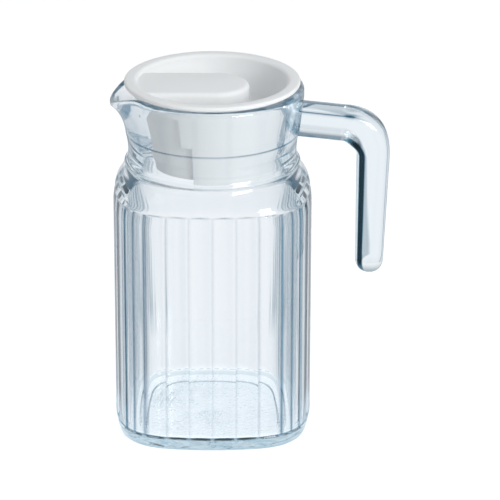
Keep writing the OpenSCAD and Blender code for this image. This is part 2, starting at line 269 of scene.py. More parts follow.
def joined(piece, other, operation):
    """Adds or cuts one closed form to or from another."""
    choose(piece)
    change = piece.modifiers.new("form", "BOOLEAN")
    change.operation = operation
    change.object = other
    change.solver = "EXACT"
    bpy.ops.object.modifier_apply(modifier=change.name)
    bpy.data.objects.remove(other, do_unlink=True)


def mix(a, b, share):
    return a * (1 - share) + b * share


def s_curve(t):
    """Goes from 0 to 1, level at both ends."""
    return (1 - math.cos(math.pi * t)) / 2


def rows(count, first=0, last=1):
    """Even shares from first to last, both counted."""
    return [first + (last - first) * i / count for i in range(count + 1)]


def pulled(a, c, b, t):
    """Point at share t of a curve from a to b that is pulled towards c."""
    return tuple(p * (1 - t) ** 2 + q * 2 * t * (1 - t) + r * t ** 2 for p, q, r in zip(a, c, b))


def arc(mid_r, mid_z, radius, first, last, count):
    """Points of a rounding, between two angles in degrees."""
    angles = [math.radians(a) for a in rows(count, first, last)]
    return [(mid_r + radius * math.cos(a), mid_z + radius * math.sin(a)) for a in angles]


# The body's plan: four bowed sides and round corners, cut by flutes

# Each bow's middle lies behind the axis. A corner's circle touches two bows from inside: its middle, its
# distance from the axis, and the angles at the bow's middle and at the axis under which they touch
BOW_BACK = SIDE_BOW_R - HALF_W
BOW_LESS = SIDE_BOW_R - CORNER_R
CORNER_MID = (math.sqrt(2 * BOW_LESS ** 2 - BOW_BACK ** 2) - BOW_BACK) / 2
CORNER_REACH = CORNER_MID * math.sqrt(2)
TOUCH_TURN = math.atan2(CORNER_MID, CORNER_MID + BOW_BACK)
TOUCH_ANGLE = math.atan2(SIDE_BOW_R * math.sin(TOUCH_TURN),
                         SIDE_BOW_R * math.cos(TOUCH_TURN) - BOW_BACK)


def plain_r(angle):
    """Distance from the axis to the plan without flutes."""
    b = angle % (2 * EIGHTH)
    b = min(b, 2 * EIGHTH - b)
    if b < TOUCH_ANGLE:
        return math.sqrt(SIDE_BOW_R ** 2 - (BOW_BACK * math.sin(b)) ** 2) - BOW_BACK * math.cos(b)
    off = EIGHTH - b
    return CORNER_REACH * math.cos(off) + math.sqrt(CORNER_R ** 2 - (CORNER_REACH * math.sin(off)) ** 2)


def line_tone(ridge, off):
    """How dark the painted shade line beside a ridge is at a distance from its crest, on the side that turns
    from the light.
    """
    return RIDGE_DARKS[ridge] * math.exp(-(off / RIDGE_SPREADS[ridge] - LINE_SHIFT) ** 2)


def flute_place(step):
    """Angle, flute depth and painted shade of one step round the jug. The steps crowd at the ridges."""
    eighth, inside = divmod(step % STEPS_ROUND, EIGHTH_STEPS)
    mirrored = eighth % 2 == 1
    if mirrored:
        inside = EIGHTH_STEPS - inside
    k = min(inside // FLUTE_STEPS, len(RIDGE_SHARES) - 2)
    t = s_curve((inside - k * FLUTE_STEPS) / FLUTE_STEPS)
    share = mix(RIDGE_SHARES[k], RIDGE_SHARES[k + 1], t)
    width = (RIDGE_SHARES[k + 1] - RIDGE_SHARES[k]) / RIDGE_SHARES[1]
    depth = FLUTE_DEPTH * 4 * t * (1 - t) * width ** 2
    angle = EIGHTH * (eighth + (1 - share if mirrored else share))
    # A painted shade line lies just past its ridge, going anticlockwise as seen from above. A painted glint
    # comes before the next ridge
    to_low, to_high = t * width * FLUTE_W, (1 - t) * width * FLUTE_W
    k_low, k_high = k, k + 1
    if mirrored:
        to_low, to_high = to_high, to_low
        k_low, k_high = k_high, k_low
    ridge = max(line_tone(k_low, to_low), line_tone(k_high, -to_high))
    glint = math.exp(-(to_high / GLINT_W) ** 2)
    return angle, depth, max(ridge, PANEL_SHADE * to_low / (to_low + to_high) * (1 - glint))


class Station:
    """One place on the jug's section: how it follows the plan, the round neck and the spout's tip."""

    def __init__(self, z, inset=0, fluted=False, scale=1, round_r=0, share=0, tip=None, edge=0, pale=0):
        self.z, self.inset, self.fluted, self.scale = z, inset, fluted, scale
        self.round_r, self.share, self.tip, self.edge, self.pale = round_r, share, tip, edge, pale

    def place(self, angle, flute, tip_share):
        """Radius and height at an angle, for a flute's depth and a share of the spout."""
        side = plain_r(angle) - self.inset - (flute if self.fluted else 0)
        r = mix(self.scale * side, self.round_r, self.share)
        z = self.z
        if self.tip:
            r, z = mix(r, self.tip[0], tip_share), mix(z, self.tip[1], tip_share)
        return r, z

    def darkness(self, flute, ridge):
        """How dark its painted shade shows. The painted line at a pressed edge is darkest in the middle of a
        flute.
        """
        if not self.fluted:
            return self.edge
        return max(self.edge * mix(AT_RIDGE_SHARE, 1, flute / FLUTE_DEPTH), ridge)


def draft_in(z):
    """How far the drafted side lies inside its top line at height z."""
    return SIDE_DRAFT * (1 - z / BODY_H)


def base_stations():
    """The hollow underside, the slope of its ring and the flat on which the jug stands."""
    inset = draft_in(0) + FOOT_INSET
    punt = [Station(PUNT_H, inset=inset, scale=s) for s in PUNT_SHARES]
    ring = [Station(PUNT_H * (1 - t), inset=inset, scale=mix(*RING_SHARES, s_curve(t))) for t in rows(6)]
    return punt + ring + [Station(0, inset=inset, scale=s) for s in STAND_SHARES]


def foot_stations():
    """The rounded foot, up to the lower ends of the flutes."""
    foot = []
    for t in rows(14):
        a = math.pi / 2 * (1 - t)
        z = FOOT_H * (1 - math.sin(a))
        pale = FOOT_SHEEN * min(1, z / FOOT_FADE_LOW, (FOOT_H - z) / FOOT_FADE_HIGH)
        foot.append(Station(z, inset=draft_in(z) + FOOT_INSET * (1 - math.cos(a)), pale=pale))
    return foot


def side_stations():
    """The fluted side from its ledge to where it eases in, and the plain edge above it."""
    ledge_z = FOOT_H + RUN_OUT_H
    side = [Station(z, inset=draft_in(z), fluted=True, edge=edge)
            for z, edge in ((ledge_z, FLUTE_FOOT_EDGE), (ledge_z + LEDGE_H, 0))]
    side += [Station(z, inset=draft_in(z), fluted=True) for z in rows(6, ledge_z, BODY_H - EASE_H)[1:]]
    for t in rows(6)[1:]:
        z = BODY_H - EASE_H * (1 - t) - (FLUTE_STOP_H if t == 1 else 0)
        side.append(Station(z, inset=draft_in(z) + EASE_INSET * t * t, fluted=True,
                            edge=FLUTE_TOP_EDGE if t == 1 else 0))
    return side + [Station(BODY_H, inset=EASE_INSET)]


def shoulder_stations():
    """From the plan's edge to the round neck's bead."""
    return [Station(mix(BODY_H, NECK_Z - BEAD_R, t), inset=EASE_INSET, round_r=BEAD_MID_R, share=s_curve(t))
            for t in rows(14)[1:]]


def bead_stations():
    angles = [math.pi * (t - 0.5) for t in rows(6)[1:-1]]
    return [Station(NECK_Z + BEAD_R * math.sin(a), round_r=BEAD_MID_R + BEAD_R * math.cos(a), share=1)
            for a in angles]


def wall_points(out_r, out_z, upright, thick, flare_pull, throat_pull):
    """Section of the neck's wall from above its bead, over the rim and down to the bore."""
    line = (LINE_R, LINE_Z)
    waist = (WAIST_R, NECK_Z + (LINE_Z - NECK_Z) / 3)
    points = [pulled((BEAD_MID_R, NECK_Z + BEAD_R), waist, line, t)
              for t in rows(9, 0, BELOW_LINE_SHARE) + [1]]
    flare = ((LINE_R + out_r) / 2 - flare_pull, (LINE_Z + out_z) / 2 + flare_pull)
    points += [pulled(line, flare, (out_r, out_z), t) for t in rows(12, ABOVE_LINE_SHARE, 1)]
    in_r, in_z = out_r - thick, out_z + upright
    for t in rows(14):
        a = math.pi * t
        points.append((out_r - thick / 2 + thick / 2 * math.cos(a), in_z + thick / 2 * math.sin(a)))
    throat = ((in_r + BORE_R) / 2 + throat_pull, (in_z + BORE_TOP_Z) / 2 + throat_pull)
    return points + [pulled((in_r, in_z), throat, (BORE_R, BORE_TOP_Z), t) for t in rows(14)[1:]]


def neck_stations():
    """The neck's wall, which is drawn out towards the spout's tip."""
    plain = wall_points(RIM_R, RIM_Z, RIM_UPRIGHT, RIM_T, 0, THROAT_BULGE)
    tip = wall_points(TIP_R, TIP_Z, TIP_UPRIGHT, TIP_T, TIP_HOLLOW, -LIP_HOLLOW)
    return [Station(z, round_r=r, share=1, tip=t, edge=NECK_LINE_EDGE if z == LINE_Z else 0,
                    pale=RIM_SHEEN if z > RIM_Z + RIM_UPRIGHT else 0)
            for (r, z), t in zip(plain, tip)]


def inside_stations():
    """The room inside, from the bore down to the middle of the floor."""
    low_z = NECK_Z + BEAD_R + INNER_SHOULDER_LIFT - INNER_SHOULDER_H
    shoulder = [Station(low_z + INNER_SHOULDER_H * t, inset=BODY_WALL + draft_in(low_z) * (1 - t),
                        round_r=BORE_R, share=s_curve(t)) for t in rows(14)]
    side = [Station(z, inset=BODY_WALL + draft_in(z)) for z in rows(6, low_z, BASE_T + FLOOR_FILLET)[1:-1]]
    fillet = []
    for t in rows(12):
        a = math.pi / 2 * t
        z = BASE_T + FLOOR_FILLET * (1 - math.sin(a))
        fillet.append(Station(z, inset=BODY_WALL + draft_in(z) + FLOOR_FILLET * (1 - math.cos(a))))
    floor = [Station(BASE_T, inset=BODY_WALL + draft_in(BASE_T) + FLOOR_FILLET, scale=s)
             for s in FLOOR_SHARES]
    return shoulder[::-1] + side + fillet + floor


def make_jug_glass():
    """The vessel: its section is drawn, turned round the axis, and pressed into the fluted mould."""
    stations = base_stations() + foot_stations() + side_stations() + shoulder_stations()
    stations += bead_stations() + neck_stations() + inside_stations()
    jug, numbers = turned_form("jug_glass", [s.place(0, 0, 0) for s in stations], STEPS_ROUND)
    tip_angle = math.radians(SPOUT_ANGLE)
    places = []
    for step in range(STEPS_ROUND):
        angle, flute, ridge = flute_place(step)
        off = abs(angle - math.pi)
        tip_share = math.cos(math.pi / 2 * off / tip_angle) ** 2 if off < tip_angle else 0
        places.append((angle, flute, tip_share, ridge))
    edges, pales = [], []
    for vertex, (number, step) in zip(jug.data.vertices, numbers):
        angle, flute, tip_share, ridge = places[step]
        station = stations[number]
        r, z = station.place(angle, flute, tip_share)
        vertex.co = (r * math.cos(angle), r * math.sin(angle), z)
        edges.append(station.darkness(flute, ridge))
        pales.append(station.pale)
    # The darkness of the painted shade lines and the strength of the painted sheen go to the material
    give_values(jug, "painted_edge_shade", edges)
    give_values(jug, "pale", pales)
    outward(jug)
    smooth(jug)
    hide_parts("jug")
    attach(jug, "pitcher")
    return jug


# The handle: a round-cornered bar that falls to a bend and goes down as a grip

HANDLE_W = 16 * MM
ROOT_X = 37.2 * MM
BAR_T = 14 * MM
BAR_Z = RIM_Z - 10.6 * MM
BAR_FALL = 2 * MM
BEND_R = 13.5 * MM
BEND_SWELL = 2 * MM
GRIP_X = 68.4 * MM
GRIP_T = 14.3 * MM
GRIP_LEAN = 1.5 * MM
GRIP_END_T = 12.2 * MM
GRIP_END_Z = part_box("handle")[0].z
HANDLE_SIDES = 48
HANDLE_SMOOTH = 60

# The end's rounding stops short of a point, and a power below 1 draws the section out to its corners
GRIP_END_TURN = math.radians(88)
SQUARE_POWER = 0.6

# How dark the painted shade lines along the handle are: on its inner side, on both its upper corners, in a
# spot at the start of the bend and in a ring on the rounded end
BAR_INNER_DARK = 0.35
BEND_INNER_DARK = 0.1
BAR_UPPER_DARK = 1.4
UPPER_FADE = 2.2
SPOT_DARK = 0.8
SPOT_SHARE = 0.12
SPOT_SPREAD = 0.08
RING_DARK = 0.9
RING_ROW = 8

# Where the painted shade lines lie round the section, in degrees from its outer side
INNER_LINE = (108, 137)
INNER_GAIN = 2
FRONT_LINE = -52.5
FRONT_SPREAD = 6
WIDE_SPREAD = 9
WIDE_FROM_DARK = 1.6
BACK_LINE = (40, 50)
BACK_DARK = 0.6


def handle_stations():
    """Places along the handle: x, z, turn of the section, thickness and width, then how dark its painted
    shade
    lines are: the inner line, the upper lines and a ring all round."""
    bar_end_x = GRIP_X - BEND_R
    fall = BAR_FALL / (bar_end_x - LINE_R)
    slope = math.atan(fall)
    lean = math.atan(GRIP_LEAN / (BAR_Z - GRIP_END_Z))
    bend_z = BAR_Z - BAR_FALL - BEND_R
    end_z = GRIP_END_Z + GRIP_END_T / 2
    stations = []
    for x in rows(8, ROOT_X, bar_end_x):
        stations.append((x, BAR_Z - (x - LINE_R) * fall, math.pi / 2 - slope, BAR_T, HANDLE_W,
                         BAR_INNER_DARK, BAR_UPPER_DARK, 0))
    for t in rows(20)[1:]:
        a = math.pi / 2 * (1 - t)
        thick = mix(BAR_T, GRIP_T, s_curve(t)) + BEND_SWELL * math.sin(math.pi * t) ** 2
        inner = mix(BEND_INNER_DARK, 1, min(1, 2 * t))
        spot = SPOT_DARK * math.exp(-((t - SPOT_SHARE) / SPOT_SPREAD) ** 2)
        upper = BAR_UPPER_DARK * max(0, 1 - UPPER_FADE * t) + spot
        stations.append((bar_end_x + BEND_R * math.cos(a), bend_z + BEND_R * math.sin(a),
                         a - slope * (1 - t) - lean * t, thick, HANDLE_W, inner, upper, 0))
    for t in rows(10)[1:]:
        stations.append((GRIP_X - GRIP_LEAN * t, mix(bend_z, end_z, t), -lean,
                         mix(GRIP_T, GRIP_END_T, t), HANDLE_W, 1, 0, 0))
    for i, t in enumerate(rows(12)[1:], 1):
        a = GRIP_END_TURN * t
        stations.append((GRIP_X - GRIP_LEAN, end_z - GRIP_END_T / 2 * math.sin(a), -lean,
                         GRIP_END_T * math.cos(a), HANDLE_W - GRIP_END_T * (1 - math.cos(a)),
                         1 - t, 0, RING_DARK if i == RING_ROW else 0))
    return stations


def handle_painted_shade(degrees, inner, upper, ring):
    """How dark the handle's painted shade shows at an angle round its section."""
    inner_line = INNER_GAIN * inner if INNER_LINE[0] < abs(degrees) < INNER_LINE[1] else 0
    spread = WIDE_SPREAD if upper > WIDE_FROM_DARK else FRONT_SPREAD
    front_line = upper * math.exp(-((degrees - FRONT_LINE) / spread) ** 2)
    back_line = BACK_DARK * min(1, upper) if BACK_LINE[0] < degrees < BACK_LINE[1] else 0
    return max(inner_line, front_line, back_line, ring)


def signed_power(v, p):
    return math.copysign(abs(v) ** p, v)


def make_handle_glass():
    """The handle is swept from a ring at the neck, station by station."""
    stations = handle_stations()
    handle, numbers = stacked_form("handle_glass", HANDLE_SIDES, BAR_T / 2, len(stations))
    edges = []
    for vertex, (level, side) in zip(handle.data.vertices, numbers):
        x, z, turn, thick, width, inner, upper, ring = stations[level]
        a = 2 * math.pi * side / HANDLE_SIDES
        out = thick / 2 * signed_power(math.cos(a), SQUARE_POWER)
        across = width / 2 * signed_power(math.sin(a), SQUARE_POWER)
        vertex.co = (x + out * math.cos(turn), across, z + out * math.sin(turn))
        degrees = math.degrees(math.atan2(math.sin(a), math.cos(a)))
        edges.append(handle_painted_shade(degrees, inner, upper, ring))
    # The darkness of the handle's painted shade lines goes to the material
    give_values(handle, "painted_edge_shade", edges)
    outward(handle)
    smooth(handle, HANDLE_SMOOTH)
    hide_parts("handle")
    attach(handle, "pitcher")
    return handle


# The lid: a turned moulding, stepped in towards the spout, with a hollow grip bar across its recess

LID_WALL = 1.8 * MM
FLANGE_T = 2 * MM
FLANGE_Z = LID_TOP_Z - FLANGE_T
PLUG_TOP_R = 33.5 * MM
PLUG_LOW_R = 27 * MM
PLUG_H = 37 * MM
PLUG_LOW_Z = FLANGE_Z - PLUG_H
PLUG_END_H = 3 * MM
FLARE_POWER = 1.5
EDGE_ROUND = 0.8 * MM
LID_TURN = 2
LID_SMOOTH = 35

# The recess in its top
RECESS_R = 31.8 * MM
RECESS_ROUND = 1.8 * MM
RECESS_FLOOR_Z = LID_TOP_Z - 19 * MM
RECESS_FILLET = 4 * MM
UNDER_Z = RECESS_FLOOR_Z - LID_WALL
FLOOR_RING_R = 10 * MM

# Its sealing bead, at the height where the rim's rounding starts
SEAL_R = 0.7 * MM
SEAL_MID_R = 33.5 * MM
SEAL_Z = RIM_Z + RIM_UPRIGHT

# Its stepped-in side. Turns and half angles are in degrees, counted from the spout
POUR_STEP = 2.2 * MM
POUR_TOP_Z = FLANGE_Z - 6 * MM
POUR_SHORT = 2 * MM
POUR_HIGH_HALF = 65
POUR_LOW_HALF = 74
WEB_TURN = 3.8
SPLIT_TURN = 0.05
SPLIT_GAP = 0.05 * MM

# How the recess's wall draws in softly behind that side
SOFT_TOP_Z = FLANGE_Z - 1 * MM
SOFT_H = 8 * MM
SOFT_END = 95
SOFT_TURN = 27

# The grip bar across the recess, and the hollow under it
GRIP_BAR_W = 28.4 * MM
GRIP_BAR_PAST = 1.6 * MM
GRIP_BAR_DROP = 1.7 * MM
GRIP_BAR_ROUND = 2 * MM
HOLLOW_OVERRUN = 1 * MM
BAR_SIDES = 96

# How far the bar's end towards the spout lies in from the plug's outside, as a share of the wall, and how
# much further the hollow's does, as a share of the hollow's inset
BAR_END_SHARE = 0.75
HOLLOW_END_SHARE = 1.6


def plug_r(z):
    """Radius of the plug's outside, which widens upwards."""
    rise = (min(max(z, PLUG_LOW_Z), FLANGE_Z) - PLUG_LOW_Z) / PLUG_H
    return PLUG_LOW_R + (PLUG_TOP_R - PLUG_LOW_R) * rise ** FLARE_POWER


def lid_section():
    """The lid's section, from the middle of the recess over the flange to the middle of the underside.

    Each place has its radius and height, the half angle inside which it is stepped in, and its lift there.
    A half angle of None is the recess, whose wall draws in softly."""
    low_z = RECESS_FLOOR_Z + RECESS_FILLET
    end_z = PLUG_LOW_Z + PLUG_END_H
    web_half = POUR_LOW_HALF + WEB_TURN
    edge_r = FLANGE_R - EDGE_ROUND
    section = [(0, RECESS_FLOOR_Z, 0, 0), (FLOOR_RING_R, RECESS_FLOOR_Z, 0, 0)]
    section += [(plug_r(z) - LID_WALL - RECESS_FILLET + r, z, None, 0)
                for r, z in arc(0, low_z, RECESS_FILLET, -90, 0, 8)]
    section += [(plug_r(z) - LID_WALL, z, None, 0)
                for z in rows(12, low_z, LID_TOP_Z - RECESS_ROUND - SPLIT_GAP)[1:]]
    section += [(r, z, 0, 0) for r, z in
                arc(RECESS_R + RECESS_ROUND, LID_TOP_Z - RECESS_ROUND, RECESS_ROUND, 180, 90, 8)
                + arc(edge_r, LID_TOP_Z - EDGE_ROUND, EDGE_ROUND, 90, 0, 5)
                + arc(edge_r, FLANGE_Z + EDGE_ROUND, EDGE_ROUND, 0, -90, 5)]
    section += [(plug_r(z), z, 0, 0) for z in (FLANGE_Z, SEAL_Z + SEAL_R)]
    section += [(r, z, 0, 0) for r, z in arc(SEAL_MID_R, SEAL_Z, SEAL_R, 90, -90, 8)]
    section += [(plug_r(z), z, 0, 0) for z in rows(3, SEAL_Z - SEAL_R, POUR_TOP_Z + SPLIT_GAP)]
    section += [(plug_r(z), z, POUR_HIGH_HALF, 0) for z in rows(6, POUR_TOP_Z, UNDER_Z + SPLIT_GAP)]
    section += [(plug_r(z), z, POUR_LOW_HALF, 0) for z in rows(6, UNDER_Z, end_z)]
    section += [(PLUG_LOW_R, PLUG_LOW_Z, POUR_LOW_HALF, POUR_SHORT),
                (PLUG_LOW_R - LID_WALL, PLUG_LOW_Z, web_half, POUR_SHORT)]
    section += [(plug_r(z) - LID_WALL, z, web_half, 0) for z in rows(6, end_z, UNDER_Z)]
    return section + [(FLOOR_RING_R, UNDER_Z, 0, 0), (0, UNDER_Z, 0, 0)]


def soft_share(z):
    """How much of the step the recess's wall has at height z."""
    return min(1, max(0, (SOFT_TOP_Z - z) / SOFT_H))


def stepped(place, off):
    """Radius and height of a place of the lid's section, at an angle in degrees from the spout."""
    r, z, half, lift = place
    if half is None:
        return r - POUR_STEP * soft_share(z) * s_curve(min(1, max(0, (SOFT_END - off) / SOFT_TURN))), z
    return (r - POUR_STEP, z + lift) if off < half else (r, z)


def lid_angles():
    """Angles round the lid, in degrees: even ones, and a close pair at each step of its sides."""
    steps = [half + web for half in (POUR_HIGH_HALF, POUR_LOW_HALF) for web in (0, WEB_TURN)]
    offs = sorted({float(off) for off in range(0, 181, LID_TURN)}
                  | {step + way * SPLIT_TURN for step in steps for way in (-1, 1)})
    return [180 - off for off in offs[::-1]] + [180 + off for off in offs[1:-1]]


def make_bar(name, inset, low_z):
    """The grip bar's form, drawn in by inset: half round towards the handle, with straight sides beyond."""
    top_z = LID_TOP_Z - GRIP_BAR_DROP - inset
    round_r = GRIP_BAR_ROUND - inset
    levels = [(z, 0) for z in rows(8, low_z, top_z - round_r - SPLIT_GAP)]
    levels += [(top_z - round_r * (1 - math.sin(a)), round_r * (1 - math.cos(a)))
               for a in (math.pi / 2 * t for t in rows(6))]
    bar, numbers = stacked_form(name, BAR_SIDES, GRIP_BAR_W / 2, len(levels))
    end_sides = BAR_SIDES // 2
    for vertex, (level, side) in zip(bar.data.vertices, numbers):
        z, less = levels[level]
        half = GRIP_BAR_W / 2 - inset - less
        if side <= end_sides:
            a = math.pi * (side / end_sides - 0.5)
            vertex.co = (GRIP_BAR_PAST + half * math.cos(a), half * math.sin(a), z)
        else:
            y = half * (1 - 2 * (side - end_sides - 1) / (end_sides - 2))
            end_r = plug_r(z) - BAR_END_SHARE * LID_WALL - HOLLOW_END_SHARE * inset
            end_r -= POUR_STEP * soft_share(z)
            vertex.co = (-math.sqrt(end_r ** 2 - y ** 2), y, z)
    outward(bar)
    return bar


def make_lid_plastic():
    """The lid is turned, stepped in towards the spout, and gets its hollow grip bar."""
    section = lid_section()
    angles = lid_angles()
    lid, numbers = turned_form("lid_plastic", [stepped(p, 0) for p in section], len(angles))
    for vertex, (number, step) in zip(lid.data.vertices, numbers):
        r, z = stepped(section[number], abs(angles[step] - 180))
        turn = math.radians(angles[step])
        vertex.co = (r * math.cos(turn), r * math.sin(turn), z)
    outward(lid)
    joined(lid, make_bar("grip_bar", 0, UNDER_Z + LID_WALL / 2), "UNION")
    joined(lid, make_bar("grip_hollow", LID_WALL, UNDER_Z - HOLLOW_OVERRUN), "DIFFERENCE")
    outward(lid)
    smooth(lid, LID_SMOOTH)
    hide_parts("lid")
    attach(lid, "lid")
    return lid


# Shader nodes as expressions

class Wire:
    """Wraps an output socket or a number, so that sums and products add Math nodes."""

    def __init__(self, tree, value):
        self.tree, self.value = tree, value

    def math(self, operation, other=None):
        node = self.tree.nodes.new("ShaderNodeMath")
        node.operation = operation
        for socket, value in zip(node.inputs, (self, other)):
            plug(self.tree, socket, value)
        return Wire(self.tree, node.outputs[0])

    def __add__(self, other):
        return self.math("ADD", other)

    def __sub__(self, other):
        return self.math("SUBTRACT", other)

    def __rsub__(self, other):
        return Wire(self.tree, other).math("SUBTRACT", self)

    def __mul__(self, other):
        return self.math("MULTIPLY", other)

    def __pow__(self, other):
        return self.math("POWER", other)

    __radd__ = __add__
    __rmul__ = __mul__

    def within(self, low=0.0, high=1.0):
        """Keeps the value between two limits."""
        return self.math("MAXIMUM", low).math("MINIMUM", high)

    def fade(self, start, end):
        """Goes from 0 where the value is start to 1 where it is end."""
        return ((self - start) * (1 / (end - start))).within()


def plug(tree, socket, value):
    """Links a wrapped output to a socket, or sets the socket's own value."""
    if isinstance(value, Wire):
        if isinstance(value.value, bpy.types.NodeSocket):
            tree.links.new(value.value, socket)
            return
        value = value.value
    if value is not None:
        socket.default_value = value


class Look:
    """One material, or the world: node() adds any node, with its settings first and then its sockets."""

    def __init__(self, name=None, tree=None):
        if name:
            self.material = bpy.data.materials.new(name)
            self.material.use_nodes = True
            tree = self.material.node_tree
            tree.nodes.clear()
        self.tree = tree

    def node(self, kind, settings=None, output=0, **sockets):
        node = self.tree.nodes.new("ShaderNode" + kind)
        for key, value in (settings or {}).items():
            setattr(node, key, value)
        for key, value in sockets.items():
            plug(self.tree, node.inputs[key.replace("_", " ")], value)
        return Wire(self.tree, node.outputs[output])

    def place(self):
        return self.node("TexCoord", output="Object")

    def light_path(self, output):
        return self.node("LightPath", output=output)

    def by_glass(self):
        """1 for rays that glass mirrors or lets through, and 0 for others and after a matt bounce."""
        sent_on = self.light_path("Is Glossy Ray") + self.light_path("Is Transmission Ray")
        matt = self.light_path("Diffuse Depth").math("MINIMUM", 1.0)
        return sent_on.math("MINIMUM", 1.0) * (1 - matt)

    def colour_mix(self, share, a, b):
        node = self.tree.nodes.new("ShaderNodeMix")
        node.data_type = "RGBA"
        for key, value in (("Factor_Float", share), ("A_Color", a), ("B_Color", b)):
            plug(self.tree, next(s for s in node.inputs if s.identifier == key), value)
        return Wire(self.tree, next(s for s in node.outputs if s.identifier == "Result_Color"))

    def mix_shader(self, share, a, b):
        node = self.tree.nodes.new("ShaderNodeMixShader")
        for socket, value in zip(node.inputs, (share, a, b)):
            plug(self.tree, socket, value)
        return Wire(self.tree, node.outputs[0])

    def add_shader(self, a, b):
        node = self.tree.nodes.new("ShaderNodeAddShader")
        plug(self.tree, node.inputs[0], a)
        plug(self.tree, node.inputs[1], b)
        return Wire(self.tree, node.outputs[0])

    def done(self, surface, volume=None):
        output = self.tree.nodes.new("ShaderNodeOutputMaterial")
        plug(self.tree, output.inputs["Surface"], surface)
        if volume:
            plug(self.tree, output.inputs["Volume"], volume)
        return self.material


def dress(piece, material):
    piece.data.materials.clear()
    piece.data.materials.append(material)


# Colours of the glass: thin, then painted shade edge on, at pressed edges and in the base's lines, then its
# painted deep glow, painted black and painted pale sheen, its shadow, and what a long way through it leaves
THIN_TINT = (0.985, 0.99, 0.995, 1)
EDGE_ON_SHADE = (0.05, 0.16, 0.24, 1)
LINE_SHADE_TINT = (0.015, 0.1, 0.19, 1)
BASE_LINE_SHADE = (0.15, 0.27, 0.35, 1)
DEEP_GLOW = (0.26, 0.44, 0.58, 1)
BASE_DEEP_GLOW = (0.7, 0.8, 0.86, 1)
PAINTED_BLACK = (0.01, 0.018, 0.024, 1)
PAINTED_SHEEN = (0.78, 0.86, 0.91, 1)
SHADOW_TINT = (0.98, 0.98, 0.98, 1)
LONG_WAY_TINT = (0.35, 0.62, 0.74, 1)

# Where the look of the glass changes: each fade goes from its first place to its second
BASE_FADE_Z = (5.6 * MM, 5.35 * MM)
BLACK_FADE_Z = (9 * MM, 7 * MM)
NECK_FADE_Z = (100 * MM, 105 * MM)

# How rough its skin is, how much more the base is rippled and how much less painted edge-on shade it gets.
# Then how dark a painted shade line is straight on, how much darker edge on, how much of it is painted black
# at most, and the bounces over which it fades
SKIN_ROUGH = 0.02
BASE_RIPPLE = 6.0
BASE_CLEARER = 0.75
LINE_SHADE_STRAIGHT = 0.7
LINE_SHADE_EDGE_ON = 1.2
MOST_BLACK = 0.9
LINE_SHADE_FADE = (2, 0)

# The bounces over which the deep glow comes in, and its share. Then the same for the sheen's streaks, over
# the values of their noise
DEEP_FADE = (5, 9)
DEEP_SHARE = 0.6
STREAK_FADE = (0.4, 0.6)
STREAK_SHARE = 0.5

# The base's painted shade lines: how wide they are, where their patches begin, and how they fade away from
# the spout
BASE_LINE_HALF = 0.05
PATCH_FADE = (0.45, 0.45 + 1 / 6)
BASE_LINES_X = 12 * MM
BASE_LINES_SLOPE = 60.0
BASE_LINES_LEAST = 0.15
BASE_LINES_SHARE = 0.8


def base_shade_lines(look, place, ripple):
    """Fine wavy painted shade lines along the ripples in patches of the base, most of all towards the spout.
    """
    lines = (ripple - 0.5).math("ABSOLUTE").fade(BASE_LINE_HALF, 0)
    patch = look.node("TexNoise", Vector=place, Scale=45.0).fade(*PATCH_FADE)
    along = look.node("SeparateXYZ", output="X", Vector=place)
    return lines * patch * ((BASE_LINES_X - along) * BASE_LINES_SLOPE).within(BASE_LINES_LEAST)


def glass_tint(look, place, low, first, ripple, edge):
    """Colour of the glass with painted shade: dark and cool where it is seen edge on, and in lines at pressed
    edges and in the base.
    """
    side = look.node("LayerWeight", output="Facing", Blend=0.5)
    tint = look.colour_mix(side ** 2 * (1 - low * BASE_CLEARER), THIN_TINT, EDGE_ON_SHADE)
    line_shade = (edge * first * (side * LINE_SHADE_EDGE_ON + LINE_SHADE_STRAIGHT)).math("MINIMUM", 1.0)
    tint = look.colour_mix(line_shade, tint, LINE_SHADE_TINT)
    return look.colour_mix(base_shade_lines(look, place, ripple) * low * BASE_LINES_SHARE, tint, BASE_LINE_SHADE)


def deep_filled(look, glass, height, low):
    """Fills very deep light paths with a cool glow, later in the body than in the neck."""
    depth = look.light_path("Ray Depth") + height.fade(*NECK_FADE_Z)
    glow = look.node("Emission", Color=look.colour_mix(low, DEEP_GLOW, BASE_DEEP_GLOW), Strength=1.0)
    return look.mix_shader(depth.fade(*DEEP_FADE) * DEEP_SHARE, glass, glow)


def pale_topped(look, glass, place, first):
    """A streaky painted pale sheen, which glows, on the foot and the rim."""
    pale = look.node("Attribute", {"attribute_name": "pale"}, output="Fac")
    stretched = look.node("Mapping", Vector=place, Scale=(1, 1, 5))
    streak = look.node("TexNoise", Vector=stretched, Scale=110.0, Detail=2.0, Distortion=1.0)
    plain = 1 - streak.fade(*STREAK_FADE) * STREAK_SHARE
    sheen = look.node("Emission", Color=PAINTED_SHEEN, Strength=1.0)
    return look.mix_shader(pale * (1 - first * plain), glass, sheen)


